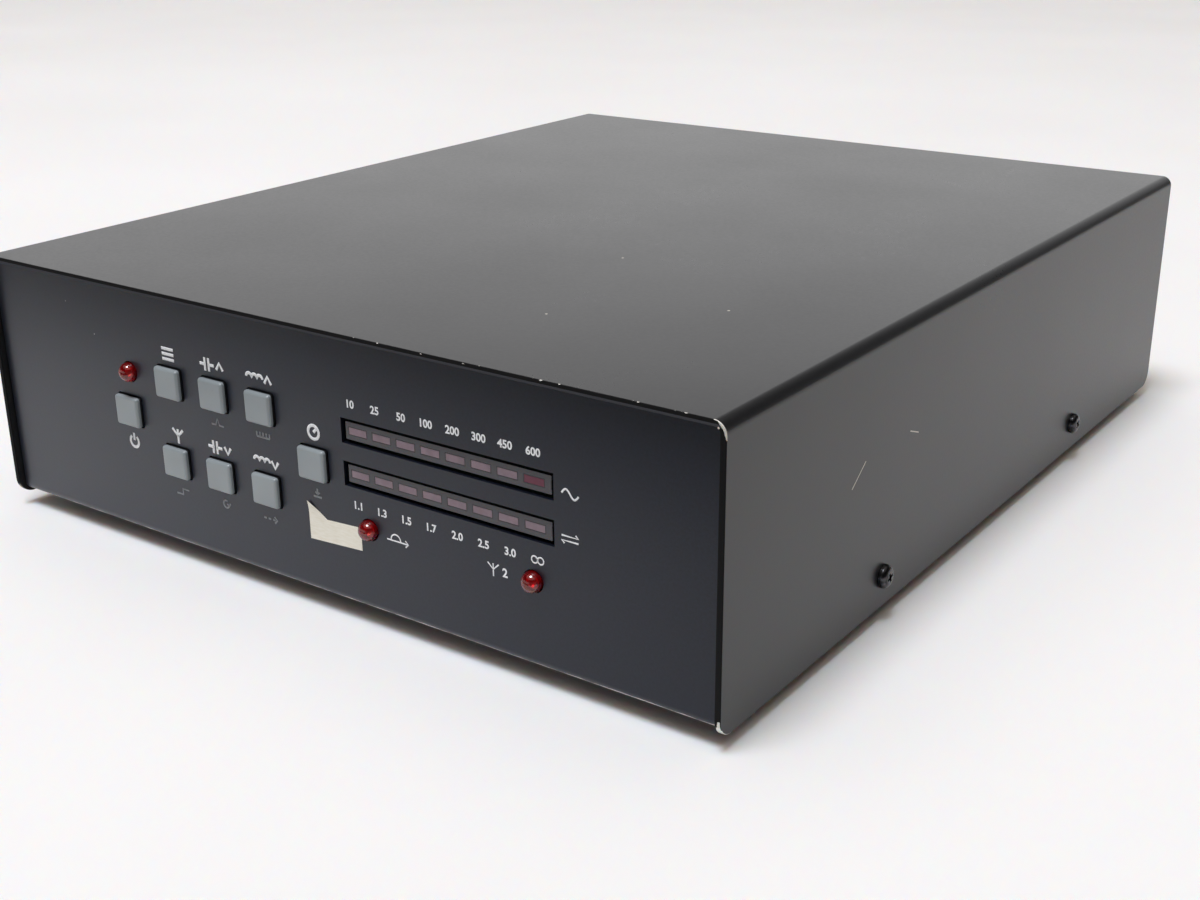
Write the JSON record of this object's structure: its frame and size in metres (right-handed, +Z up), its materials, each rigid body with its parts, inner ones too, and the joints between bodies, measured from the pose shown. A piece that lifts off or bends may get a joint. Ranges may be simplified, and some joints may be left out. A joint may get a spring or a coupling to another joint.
{
  "type": "automatic antenna tuner",
  "caption": "Low black sheet metal antenna tuner with grey push buttons, red lamps and bar meters in front, and coaxial sockets, a ground post and jacks behind.",
  "frame": {"origin": "middle of the bounding box in X and Y, on the floor under the feet", "axes": "+X to the right as seen from the front, +Y from the front panel to the rear panel, +Z up"},
  "size_m": [0.2588, 0.3152, 0.0797],
  "materials": {
    "cover_paint": "satin",
    "chassis_paint": "satin",
    "black_screw": "satin",
    "zinc_steel": "satin",
    "foot_rubber": "matte",
    "cap_plastic": "satin",
    "plunger_plastic": "satin",
    "black_plastic": "satin",
    "red_lens": "gloss",
    "smoked_plastic": "satin",
    "pink_lens": "satin",
    "tape_paper": "matte",
    "board_laminate": "satin",
    "cable_sheath": "satin",
    "relay_plastic": "satin",
    "iron_powder": "matte",
    "copper_wire": "gloss",
    "capacitor_coat": "satin",
    "nickel_plate": "gloss",
    "white_insulator": "satin",
    "plated_contact": "gloss"
  },
  "bodies": {
    "case": {"chassis": "chassis_paint", "cover": "cover_paint", "cover_screws": "black_screw", "clinch_nuts": "zinc_steel", "feet": "foot_rubber", "switches": "black_plastic", "lamps": "red_lens", "meter_bars": "smoked_plastic", "meter_segments": "pink_lens", "paper_tape": "tape_paper", "display_board": "board_laminate", "panel_studs": "zinc_steel", "panel_spacers": "zinc_steel", "panel_nuts": "zinc_steel", "main_board": "board_laminate", "standoffs": "zinc_steel", "board_screws": "zinc_steel", "ribbon_cable": "cable_sheath", "ribbon_headers": "black_plastic", "relays": "relay_plastic", "coil_cores": "iron_powder", "coil_windings": "copper_wire", "capacitors": "capacitor_coat", "filter_capacitors": "capacitor_coat", "controller_chip": "black_plastic", "sensing_ring": "iron_powder", "radio_socket": "nickel_plate", "antenna_socket_1": "nickel_plate", "antenna_socket_2": "nickel_plate", "socket_insulators": "white_insulator", "socket_contacts": "plated_contact", "socket_screws": "zinc_steel", "socket_nuts": "zinc_steel", "socket_leads": "cable_sheath", "ground_stud": "zinc_steel", "ground_nut": "zinc_steel", "ground_washer": "zinc_steel", "signal_jacks": "black_plastic", "jack_nuts": "zinc_steel", "power_jack": "black_plastic", "power_jack_pin": "zinc_steel"},
    "key_power": {"button_power": "cap_plastic", "plunger_power": "plunger_plastic"},
    "key_function": {"button_function": "cap_plastic", "plunger_function": "plunger_plastic"},
    "key_c_up": {"button_c_up": "cap_plastic", "plunger_c_up": "plunger_plastic"},
    "key_l_up": {"button_l_up": "cap_plastic", "plunger_l_up": "plunger_plastic"},
    "key_antenna": {"button_antenna": "cap_plastic", "plunger_antenna": "plunger_plastic"},
    "key_c_down": {"button_c_down": "cap_plastic", "plunger_c_down": "plunger_plastic"},
    "key_l_down": {"button_l_down": "cap_plastic", "plunger_l_down": "plunger_plastic"},
    "key_tune": {"button_tune": "cap_plastic", "plunger_tune": "plunger_plastic"},
    "wing": {"wing_nut": "nickel_plate"}
  },
  "joints": [
    {"name": "press_power", "type": "slide", "parent": "case", "child": "key_power", "axis": [0, 1, 0], "range_m": [0, 0.0005], "stiffness_N_per_m": 600, "springref_m": -0.002},
    {"name": "press_function", "type": "slide", "parent": "case", "child": "key_function", "axis": [0, 1, 0], "range_m": [0, 0.0005], "stiffness_N_per_m": 600, "springref_m": -0.002},
    {"name": "press_c_up", "type": "slide", "parent": "case", "child": "key_c_up", "axis": [0, 1, 0], "range_m": [0, 0.0005], "stiffness_N_per_m": 600, "springref_m": -0.002},
    {"name": "press_l_up", "type": "slide", "parent": "case", "child": "key_l_up", "axis": [0, 1, 0], "range_m": [0, 0.0005], "stiffness_N_per_m": 600, "springref_m": -0.002},
    {"name": "press_antenna", "type": "slide", "parent": "case", "child": "key_antenna", "axis": [0, 1, 0], "range_m": [0, 0.0005], "stiffness_N_per_m": 600, "springref_m": -0.002},
    {"name": "press_c_down", "type": "slide", "parent": "case", "child": "key_c_down", "axis": [0, 1, 0], "range_m": [0, 0.0005], "stiffness_N_per_m": 600, "springref_m": -0.002},
    {"name": "press_l_down", "type": "slide", "parent": "case", "child": "key_l_down", "axis": [0, 1, 0], "range_m": [0, 0.0005], "stiffness_N_per_m": 600, "springref_m": -0.002},
    {"name": "press_tune", "type": "slide", "parent": "case", "child": "key_tune", "axis": [0, 1, 0], "range_m": [0, 0.0005], "stiffness_N_per_m": 600, "springref_m": -0.002},
    {"name": "wing_turn", "type": "hinge", "parent": "case", "child": "wing", "pos_m": [0.034, 0.1486, 0.029], "axis": [0, 1, 0], "continuous": true}
  ]
}
